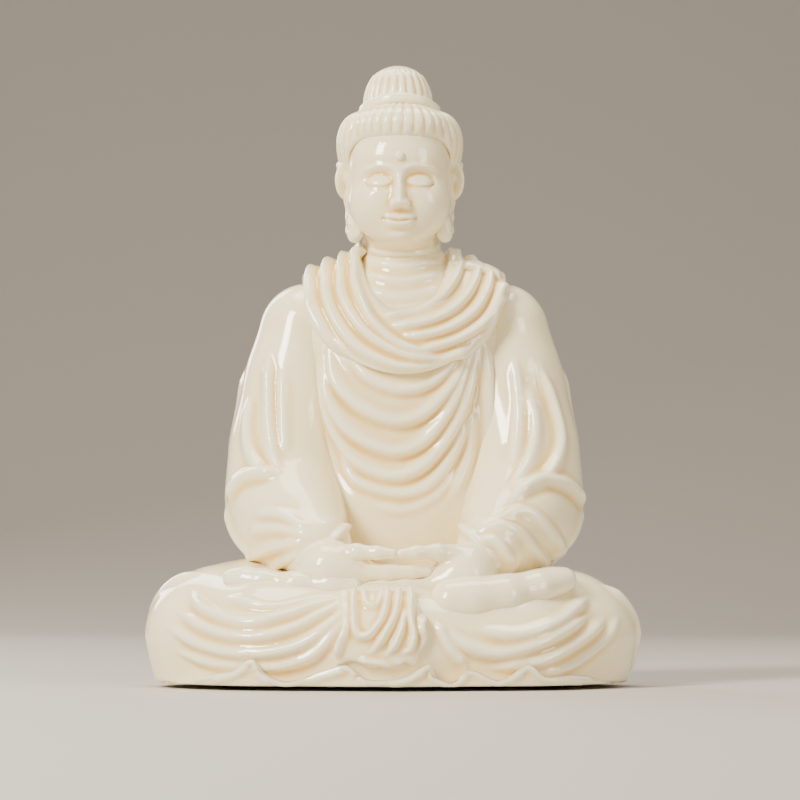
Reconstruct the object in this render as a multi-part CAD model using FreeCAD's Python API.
import FreeCAD, Part
import math
import os

# Seated Buddha figure in glazed porcelain: a group of slip-cast and hand-formed pieces that are
# luted together with slip and fired as one.
# Millimetres. Origin under the middle of the figure, on the surface it stands on.
# +Z up, the figure faces -Y, and +X is to the viewer's right, which is the figure's left side.

Vector = FreeCAD.Vector
X_AXIS, Y_AXIS, Z_AXIS = Vector(1, 0, 0), Vector(0, 1, 0), Vector(0, 0, 1)

# ---- Driving dimensions ----

wall = 4.5                  # wall of every hollow casting
vent_radius = 2.5           # holes that let gas out of the arm castings in the kiln

# Felt pads under the base
pad_thickness = 1.5
pad_radius = 5.0
pad_front_x, pad_front_y = 52.0, -27.0
pad_back_x, pad_back_y = 34.0, 38.0

# Crossed legs under the robe
lap_width = 164.8
lap_depth = 124.1
lap_height = 43.5
lap_y = 0.35                # the hem stands in front, so the legs' own middle is behind the origin
base_plate_thickness = 4.5
filling_hole_radius = 13.0
filling_hole_y = 8.0
waist_hole_radius = 13.0    # joins the hollow of the legs to the hollow of the chest

# Hollow between the thighs, where the hands lie
cradle_radii = (33.0, 21.0, 14.0)
cradle_y = -37.0

# Chest and back
axis_x = 4.0                # the upper body sits a little towards the figure's left
torso_y = 21.0
torso_width = 88.0
torso_depth = 58.0
torso_height = 100.0        # from the top of the legs to the neck seat
torso_sink = 14.0           # how far the chest casting wraps down behind the legs

# Arms with their sleeves
shoulder_drop = 21.0        # shoulder's middle below the neck seat
shoulder_out = 33.0
shoulder_radius = 16.0
elbow_out = 43.5
elbow_rise = 21.0           # elbow's middle above the top of the legs
elbow_radius = 15.5
elbow_forward = 10.0        # elbow's middle in front of the chest's
vent_drop = 10.0            # kiln vent below the shoulder's middle
cuff_out = 28.0
cuff_y = -26.0
cuff_rise = 0.5
cuff_radius = 10.5

# Draped collar
collar_thickness = 3.2
collar_radius = 36.0
collar_centre_drop = 2.8    # middle of its round outline below the neck seat, at the front
collar_slope = 0.15         # rise of that middle per millimetre towards the back

# Head
head_x = 2.5                # middle of the head
neck_x = 3.4
neck_radius = 14.0
neck_height = 6.5           # bare neck between the neck seat and the jaw
neck_spigot = 8.0           # neck below its seat, inside the chest casting
neck_y = 19.0
head_y = 14.0
head_width = 41.0
head_depth = 46.0
head_height = 48.0
hair_thickness = 1.7
hairline_rise = 38.0        # edge of the hair above the chin, at the front
nape_rise = 6.0             # edge of the hair above the chin, at the back
face_window_width = 35.0
band_radius = 12.0          # middle of the cord around the topknot
band_thickness = 4.6
topknot_radius = 12.2
topknot_height = 15.5       # above the band's middle
topknot_y = 16.5
bead_radius = 1.3
bead_rise = 30.0            # above the chin

# Ears
ear_length = 27.0
ear_thickness = 4.4
ear_depth = 11.0            # front to back, at its widest
ear_top_rise = 28.0         # above the chin

# Hands
palm_radii = (12.0, 9.0, 5.6)
wrist_radius = 5.5
finger_radius = 2.5
finger_length = 22.0
thumb_radius = 2.6
hand_y = -31.0

# Feet
foot_radius = 6.5
foot_length = 42.0
heel_out = 12.0
foot_drop = 5.0             # heel's middle below the top of the legs
foot_forward = 0.36         # share of the legs' depth

# Front swag and hem
cloth_thickness = 2.5
swag_width = 30.0
swag_x = -4.0
swag_drop = 10.0            # top of the swag below the top of the legs
swag_low = 5.0
hem_half_width = 66.0
hem_low, hem_high = 5.0, 12.0

# ---- Heights that follow from the sizes above ----

floor_z = pad_thickness
lap_top = floor_z + lap_height
neck_seat = lap_top + torso_height
chin_z = neck_seat + neck_height
crown_z = chin_z + head_height
band_z = crown_z
overall_height = band_z + topknot_height

# Crossed legs from above: (share of half width, share of half depth), front to back
LAP_OUTLINE = [(0.0, -0.93), (0.30, -0.985), (0.60, -0.93), (0.86, -0.69), (0.995, -0.33),
               (0.95, 0.08), (0.78, 0.48), (0.50, 0.83), (0.22, 0.985)]
# (share of height, share of plan size)
LAP_LEVELS = [(0.0, 0.925), (0.14, 0.96), (0.32, 0.99), (0.50, 1.0), (0.68, 0.955), (0.83, 0.85),
              (0.93, 0.74), (1.0, 0.60)]
# (share of height, share of half width, share of half depth)
TORSO_LEVELS = [(0.0, 0.90, 1.0), (0.16, 0.90, 1.0), (0.32, 0.92, 1.0), (0.46, 0.95, 0.99),
                (0.58, 0.98, 0.98), (0.70, 1.0, 0.94), (0.80, 0.965, 0.87), (0.88, 0.85, 0.78),
                (0.94, 0.66, 0.69), (1.0, 0.42, 0.56)]
# (share of head height above the chin, share of half width, share of half depth)
HEAD_LEVELS = [(0.0, 0.62, 0.66), (0.09, 0.79, 0.82), (0.24, 0.91, 0.93), (0.44, 0.98, 0.99),
               (0.64, 1.0, 1.0), (0.81, 0.90, 0.91), (0.93, 0.62, 0.64), (1.0, 0.26, 0.28)]
# (share of half height, share of plan size)
PEBBLE_LEVELS = [(-1.0, 0.42), (-0.75, 0.74), (-0.4, 0.94), (0.0, 1.0),
                 (0.4, 0.94), (0.75, 0.74), (1.0, 0.42)]


# ---- Shapes used by several pieces ----

def ellipsoid(centre, radii):
    matrix = FreeCAD.Matrix()
    matrix.scale(*radii)
    shape = Part.makeSphere(1.0).transformGeometry(matrix)
    shape.translate(centre)
    return shape


def ring(centre, half_width, half_depth):
    """A level ellipse as a wire, with its seam always at the same angle."""
    if half_width >= half_depth:
        curve = Part.Ellipse(centre + Vector(half_width, 0, 0), centre + Vector(0, half_depth, 0), centre)
        return Part.Wire(curve.toShape())
    curve = Part.Ellipse(centre + Vector(0, half_depth, 0), centre + Vector(-half_width, 0, 0), centre)
    return Part.Wire(curve.toShape())


def oval(centre, half_width, half_depth, count=12):
    """A level oval through evenly spaced points, so that every level lofts point to point."""
    points = []
    for i in range(count):
        angle = 2 * math.pi * i / count
        points.append(centre + Vector(half_width * math.cos(angle), half_depth * math.sin(angle), 0))
    curve = Part.BSplineCurve()
    curve.interpolate(points, PeriodicFlag=True)
    return Part.Wire(curve.toShape())


def limb(stations):
    """A rounded tube through (x, y, z, radius) stations, each circle square to the path."""
    points = [Vector(x, y, z) for x, y, z, _ in stations]
    wires = []
    for i, point in enumerate(points):
        before, after = points[max(i - 1, 0)], points[min(i + 1, len(points) - 1)]
        wires.append(Part.Wire(Part.Circle(point, after - before, stations[i][3]).toShape()))
    return Part.makeLoft(wires, True, False)


def finger(start, end, radius, tip_radius):
    """A tapered stick with round ends."""
    way = end - start
    stick = Part.makeCone(radius, tip_radius, way.Length, start, way)
    ends = Part.makeSphere(radius, start, way).fuse(Part.makeSphere(tip_radius, end, way))
    return stick.fuse(ends).removeSplitter()


def pebble(centre, radii):
    """A lofted lump, flat on top and below."""
    wires = []
    for height, share in PEBBLE_LEVELS:
        level = centre + Vector(0, 0, height * radii[2])
        wires.append(oval(level, share * radii[0], share * radii[1]))
    return Part.makeLoft(wires, True, False)


def box_between(low, high):
    return Part.makeBox(high.x - low.x, high.y - low.y, high.z - low.z, low)


def largest(shape):
    """The biggest solid of a cut, without the crumbs that a cut along a curved face leaves."""
    return max(shape.Solids, key=lambda solid: solid.Volume)


# ---- Outer forms, which can be grown or shrunk to make coats and hollows ----

def lap_form(grow=0.0, low=None):
    """The crossed legs. Its foot stays on the base unless low moves it."""
    bottom = floor_z if low is None else low
    top = lap_top + grow
    half_width, half_depth = lap_width / 2 + grow, lap_depth / 2 + grow
    wires = []
    for height, share in LAP_LEVELS:
        right = [Vector(x * share * half_width, lap_y + y * share * half_depth, 0) for x, y in LAP_OUTLINE]
        left = [Vector(-p.x, p.y, 0) for p in right[:0:-1]]
        back = Vector(0, lap_y + share * half_depth, 0)
        curve = Part.BSplineCurve()
        curve.interpolate(right + [back] + left, PeriodicFlag=True)
        wire = Part.Wire(curve.toShape())
        wire.translate(Vector(0, 0, bottom + height * (top - bottom)))
        wires.append(wire)
    return Part.makeLoft(wires, True, False)


def cradle_form(grow=0.0):
    centre = Vector(axis_x, cradle_y, lap_top)
    return ellipsoid(centre, [radius + grow for radius in cradle_radii])


def torso_form(grow=0.0):
    low, high = lap_top - torso_sink, neck_seat + grow
    wires = []
    for height, width, depth in TORSO_LEVELS:
        z = low + height * (high - low)
        wires.append(oval(Vector(axis_x, torso_y, z), width * torso_width / 2 + grow,
                          depth * torso_depth / 2 + grow))
    return Part.makeLoft(wires, True, False)


def arm_path(side):
    """Middle line and radius of an arm, from the shoulder round the elbow to the cuff."""
    shoulder_z = neck_seat - shoulder_drop
    elbow_z = lap_top + elbow_rise
    cuff_z = lap_top + cuff_rise
    drop = shoulder_z - elbow_z
    elbow_y = torso_y - elbow_forward
    return [
        (axis_x + side * shoulder_out, torso_y, shoulder_z, shoulder_radius),
        (axis_x + side * (shoulder_out + 0.42 * (elbow_out - shoulder_out)), torso_y - 0.5,
         shoulder_z - 0.24 * drop, 0.93 * shoulder_radius),
        (axis_x + side * (shoulder_out + 0.80 * (elbow_out - shoulder_out)), torso_y - 3.0,
         shoulder_z - 0.60 * drop, elbow_radius),
        (axis_x + side * elbow_out, elbow_y, elbow_z, elbow_radius),
        (axis_x + side * (elbow_out - 2.0), elbow_y - 9.0, elbow_z - 10.0, 0.95 * elbow_radius),
        (axis_x + side * (cuff_out + 10.0), elbow_y + 0.60 * (cuff_y - elbow_y), cuff_z + 5.0,
         1.1 * cuff_radius),
        (axis_x + side * cuff_out, cuff_y, cuff_z, cuff_radius),
    ]


def arm_form(side, grow=0.0):
    """Arm with a round shoulder."""
    path = arm_path(side)
    x, y, z, radius = path[0]
    shoulder = Part.makeSphere(radius + grow, Vector(x, y, z))
    return limb([(x, y, z, radius + grow) for x, y, z, radius in path]).fuse(shoulder)


def head_form(grow=0.0):
    """Skull and jaw, without the neck."""
    wires = []
    high = crown_z + grow
    for height, width, depth in HEAD_LEVELS:
        z = chin_z + height * (high - chin_z)
        wires.append(oval(Vector(head_x, head_y, z), width * head_width / 2 + grow,
                          depth * head_depth / 2 + grow))
    return Part.makeLoft(wires, True, False)


def neck_form(grow=0.0, below=0.0):
    """Round neck from the end of its spigot, or from further below, up into the jaw."""
    low = neck_seat - neck_spigot - below
    high = chin_z + 0.16 * head_height
    return Part.makeCylinder(neck_radius + grow, high - low, Vector(neck_x, neck_y, low))


# ---- The hollow castings ----

lap_outer = lap_form().cut(cradle_form())
torso_outer = torso_form()
arm_outer = {side: arm_form(side) for side in (-1, 1)}
lap_side = {}
for side in (-1, 1):
    far = side * lap_width
    lap_side[side] = lap_outer.common(box_between(Vector(min(0, far), -lap_depth, 0),
                                                  Vector(max(0, far), lap_depth, 2 * lap_height)))
neck_outer = neck_form()
head_outer = head_form().fuse(neck_outer)


def lap_hollow():
    hollow = lap_form(-wall, floor_z - 1.0)
    return hollow.cut(cradle_form(wall))


def make_lap_shell():
    """Legs, open below, with a hole up into the chest."""
    waist = Part.makeCylinder(waist_hole_radius, 2 * wall, Vector(axis_x, torso_y, lap_top - 1.5 * wall))
    return largest(lap_outer.cut(lap_hollow()).cut(waist))


def make_base_plate():
    """Slab that closes the legs, flush with the foot, with the hole for filling and venting."""
    slab = box_between(Vector(-lap_width, -lap_depth, floor_z),
                       Vector(lap_width, lap_depth, floor_z + base_plate_thickness))
    hole = Part.makeCylinder(filling_hole_radius, 3 * base_plate_thickness,
                             Vector(0, filling_hole_y, floor_z - base_plate_thickness))
    return largest(lap_hollow().common(slab).cut(hole))


def arm_vent(side):
    """Drilled from the chest's hollow into the arm's."""
    z = neck_seat - shoulder_drop - vent_drop
    start = Vector(axis_x + side * (shoulder_out + 2.0), torso_y, z)
    return Part.makeCylinder(vent_radius, shoulder_out, start, Vector(-side, 0, 0))


def make_torso_shell():
    """Chest and back, open below onto the legs, with the neck's socket on top."""
    hollow = torso_form(-wall)
    shell = torso_outer.cut(hollow).cut(lap_outer).cut(neck_outer)
    opening = Part.makeCylinder(waist_hole_radius, 3 * wall, Vector(axis_x, torso_y, lap_top - 1.5 * wall))
    shell = shell.cut(opening)
    for side in (-1, 1):
        shell = shell.cut(arm_vent(side))
    return largest(shell)


def make_sleeve(side):
    """Arm with its sleeve, hollow, closed at the shoulder and open at the cuff."""
    path = arm_path(side)
    hollow_path = [(x, y, z, radius - wall) for x, y, z, radius in path]
    # The cuff's mouth takes the wrist, and the hollow runs out through it.
    x, y, z, _ = path[-1]
    mouth_x, mouth_y, mouth_z, _ = path[-2]
    out = Vector(x - mouth_x, y - mouth_y, z - mouth_z).normalize()
    mouth = Part.makeCylinder(wrist_radius, 4 * wall, Vector(x, y, z) - out * 3 * wall, out)
    sleeve = arm_outer[side].cut(lap_side[side]).cut(torso_outer)
    return largest(sleeve.cut(limb(hollow_path[:-1])).cut(mouth).cut(arm_vent(side)))


def make_head_shell():
    """Skull, jaw and neck in one casting, drained through the neck."""
    hollow = head_form(-wall).fuse(neck_form(-wall, wall))
    return largest(head_outer.cut(hollow))


# ---- Pieces laid on the castings ----

def make_collar_drape():
    """Cloth layer over the shoulders, round in outline and lower in front than behind."""
    coat = torso_form(collar_thickness)
    for side in (-1, 1):
        coat = coat.fuse(arm_form(side, collar_thickness))
    front = torso_y - torso_depth / 2
    way = Vector(0, 1, collar_slope)
    start = Vector(axis_x, front - 10, neck_seat - collar_centre_drop - 10 * collar_slope)
    outline = Part.makeCylinder(collar_radius, 2 * torso_depth, start, way)
    drape = coat.common(outline).cut(torso_outer).cut(neck_outer)
    for side in (-1, 1):
        drape = drape.cut(arm_outer[side])
    return largest(drape)


def make_hair_cap():
    """Combed hair over the skull, open over the face and the nape."""
    above = box_between(Vector(-head_width, -head_depth, chin_z + nape_rise),
                        Vector(head_width, 2 * head_depth, crown_z + 2 * hair_thickness))
    face = ring(Vector(0, 0, 0), face_window_width / 2, hairline_rise)
    window = Part.Face(face).extrude(Vector(0, 0, head_depth))
    window.rotate(Vector(0, 0, 0), X_AXIS, 90)
    window.translate(Vector(head_x, head_y, chin_z))
    return largest(head_form(hair_thickness).common(above).cut(window).cut(head_outer))


def band_form():
    return Part.makeTorus(band_radius, band_thickness / 2, Vector(head_x, topknot_y, band_z), Z_AXIS)


def make_topknot(hair):
    bun = ellipsoid(Vector(head_x, topknot_y, band_z), (topknot_radius, topknot_radius, topknot_height))
    above = box_between(Vector(-head_width, -head_depth, band_z - band_thickness / 2),
                        Vector(head_width, 2 * head_depth, overall_height + 1))
    return largest(bun.common(above).cut(band_form()).cut(hair).cut(head_outer))


def make_topknot_band(hair):
    return largest(band_form().cut(hair).cut(head_outer))


def make_ear(side, hair):
    """Long ear: joined along its upper half, with the lobe hanging free beside the neck."""
    top = chin_z + ear_top_rise
    out = head_width / 2
    # (share of length down, middle outside the widest part of the head, shares of thickness and depth)
    levels = [(0.0, -0.4, 0.55, 0.45), (0.10, 0.3, 0.90, 0.85), (0.25, 0.8, 1.0, 1.0),
              (0.45, 0.6, 0.95, 0.82), (0.65, 0.1, 0.90, 0.62), (0.82, -0.4, 1.0, 0.66),
              (0.94, -0.8, 0.85, 0.55), (1.0, -1.0, 0.40, 0.28)]
    wires = []
    for down, offset, thick, deep in levels:
        centre = Vector(head_x + side * (out + offset), head_y, top - down * ear_length)
        wires.append(oval(centre, thick * ear_thickness / 2, deep * ear_depth / 2))
    ear = Part.makeLoft(wires, True, False)
    return largest(ear.cut(head_outer).cut(hair))


def face_front(z):
    """How far forward the skull reaches at a height."""
    section = head_outer.slice(Z_AXIS, z)
    return min(wire.BoundBox.YMin for wire in section)


def make_forehead_bead():
    z = chin_z + bead_rise
    return largest(Part.makeSphere(bead_radius, Vector(head_x, face_front(z), z), Y_AXIS).cut(head_form()))


def hand_form(side):
    """Open hand, palm up, fingers pointing across to the other side. The right hand is on top."""
    on_top = side < 0
    palm_z = lap_top - (1.0 if on_top else 3.5)
    finger_z = lap_top - (2.0 if on_top else 2.0 + 2.3 * finger_radius)
    palm_x = axis_x + side * (cuff_out - palm_radii[0] - 1.0)
    hand = pebble(Vector(palm_x, hand_y, palm_z), palm_radii)
    for i in range(4):
        y = hand_y - 6.0 + i * 1.75 * finger_radius
        start = Vector(palm_x - side * 5.0, y, 0.5 * (palm_z + finger_z))
        end = start + Vector(-side * (finger_length - 1.5 * abs(i - 1.4)), 0, finger_z - start.z)
        hand = hand.fuse(finger(start, end, finger_radius, 0.8 * finger_radius))
    thumb_root = Vector(palm_x, hand_y - 4.5, palm_z + 3.0)
    thumb_tip = Vector(axis_x + side * 0.75 * thumb_radius, hand_y - 6.0, lap_top + 4.6)
    hand = hand.fuse(finger(thumb_root, thumb_tip, thumb_radius, 0.8 * thumb_radius))
    path = arm_path(side)
    inner, mouth = Vector(*path[-2][:3]), Vector(*path[-1][:3])
    out = (mouth - inner).normalize()
    wrist_end = mouth - out * wall
    wrist = Part.makeCylinder(wrist_radius, wall + 9.0, wrist_end, out)
    return hand.fuse(wrist)


def make_hand(side, other=None):
    """The hand without what the sleeve, the legs and the hand above it take up."""
    hand = hand_form(side)
    if other is not None:
        hand = hand.cut(other)
    return largest(hand.cut(lap_outer).cut(make_sleeve(side)))


def make_foot(side, neighbours):
    """Sole-up foot luted on the opposite thigh, heel towards the middle."""
    heel_x = side * heel_out
    y = -foot_forward * lap_depth
    z = lap_top - foot_drop
    foot = limb([(heel_x, y - 1, z - 2.0, 0.75 * foot_radius),
                 (heel_x + side * 5, y - 1, z - 1.0, foot_radius),
                 (heel_x + side * 0.5 * foot_length, y + 1, z - 0.5, 0.9 * foot_radius),
                 (heel_x + side * 0.85 * foot_length, y + 5, z + 0.5, 0.95 * foot_radius),
                 (heel_x + side * foot_length, y + 7, z + 0.5, 0.6 * foot_radius)])
    foot = foot.cut(lap_outer)
    for piece in neighbours:
        foot = foot.cut(piece)
    for arm in arm_outer.values():
        foot = foot.cut(arm)
    return largest(foot)


def front_panel(outline):
    """The coat of cloth on the front of the legs inside an outline drawn in front of them."""
    prism = Part.Face(outline).extrude(Vector(0, 0.7 * lap_depth, 0))
    return lap_form(cloth_thickness, floor_z).common(prism).cut(lap_outer)


def make_front_swag(hand):
    """End of the robe that falls over the front between the shins, from under the lower hand."""
    half = swag_width / 2
    low, high = floor_z + swag_low, lap_top - swag_drop
    corners = [(-1.0, low + 4), (-0.3, low), (0.5, low + 1), (1.0, low + 7),
               (0.9, high - 2), (0.4, high), (-0.6, high), (-1.0, high - 6)]
    edge = Part.BSplineCurve()
    edge.interpolate([Vector(swag_x + x * half, -lap_depth, z) for x, z in corners], PeriodicFlag=True)
    return largest(front_panel(Part.Wire(edge.toShape())).cut(hand))


def make_front_hem(swag):
    """Waved hem that lies along the ground in front of the shins."""
    crests = []
    steps = 12
    for i in range(steps + 1):
        x = hem_half_width - 2 * hem_half_width * i / steps
        edge = 1.0 - abs(2 * i / steps - 1) ** 4
        height = (hem_high if i % 2 else hem_low) * edge + 1.0
        crests.append((x, floor_z + height))
    edge = Part.BSplineCurve()
    edge.interpolate([Vector(x, -lap_depth, z) for x, z in crests])
    foot = Part.makePolygon([edge.EndPoint, Vector(-hem_half_width, -lap_depth, floor_z),
                             Vector(hem_half_width, -lap_depth, floor_z), edge.StartPoint])
    return largest(front_panel(Part.Wire([edge.toShape()] + foot.Edges)).cut(swag))


def make_felt_pad(x, y):
    return Part.makeCylinder(pad_radius, pad_thickness, Vector(x, y, 0))


# ---- Build every piece ----

def build():
    pieces = {
        "lap_shell": make_lap_shell(),
        "base_plate": make_base_plate(),
        "torso_shell": make_torso_shell(),
        "right_sleeve": make_sleeve(-1),
        "left_sleeve": make_sleeve(1),
        "collar_drape": make_collar_drape(),
        "head_shell": make_head_shell(),
        "hair_cap": make_hair_cap(),
        "forehead_bead": make_forehead_bead(),
    }
    hair = pieces["hair_cap"]
    pieces["topknot_band"] = make_topknot_band(hair)
    pieces["topknot"] = make_topknot(hair)
    pieces["right_ear"] = make_ear(-1, hair)
    pieces["left_ear"] = make_ear(1, hair)
    pieces["right_hand"] = make_hand(-1)
    pieces["left_hand"] = make_hand(1, pieces["right_hand"])
    pieces["front_swag"] = make_front_swag(pieces["left_hand"])
    neighbours = (pieces["right_hand"], pieces["left_hand"], pieces["front_swag"])
    pieces["left_foot"] = make_foot(-1, neighbours)
    pieces["right_foot"] = make_foot(1, neighbours)
    pieces["front_hem"] = make_front_hem(pieces["front_swag"])
    pieces["felt_pad_front_right"] = make_felt_pad(-pad_front_x, pad_front_y)
    pieces["felt_pad_front_left"] = make_felt_pad(pad_front_x, pad_front_y)
    pieces["felt_pad_back_right"] = make_felt_pad(-pad_back_x, pad_back_y)
    pieces["felt_pad_back_left"] = make_felt_pad(pad_back_x, pad_back_y)
    return pieces


def main():
    os.makedirs("parts", exist_ok=True)
    for name, shape in build().items():
        shape.exportStep("parts/" + name + ".step")
        print(name, "valid", shape.isValid(), "solids", len(shape.Solids), "volume", round(shape.Volume))
    print("height", overall_height)


if __name__ == "__main__":
    main()
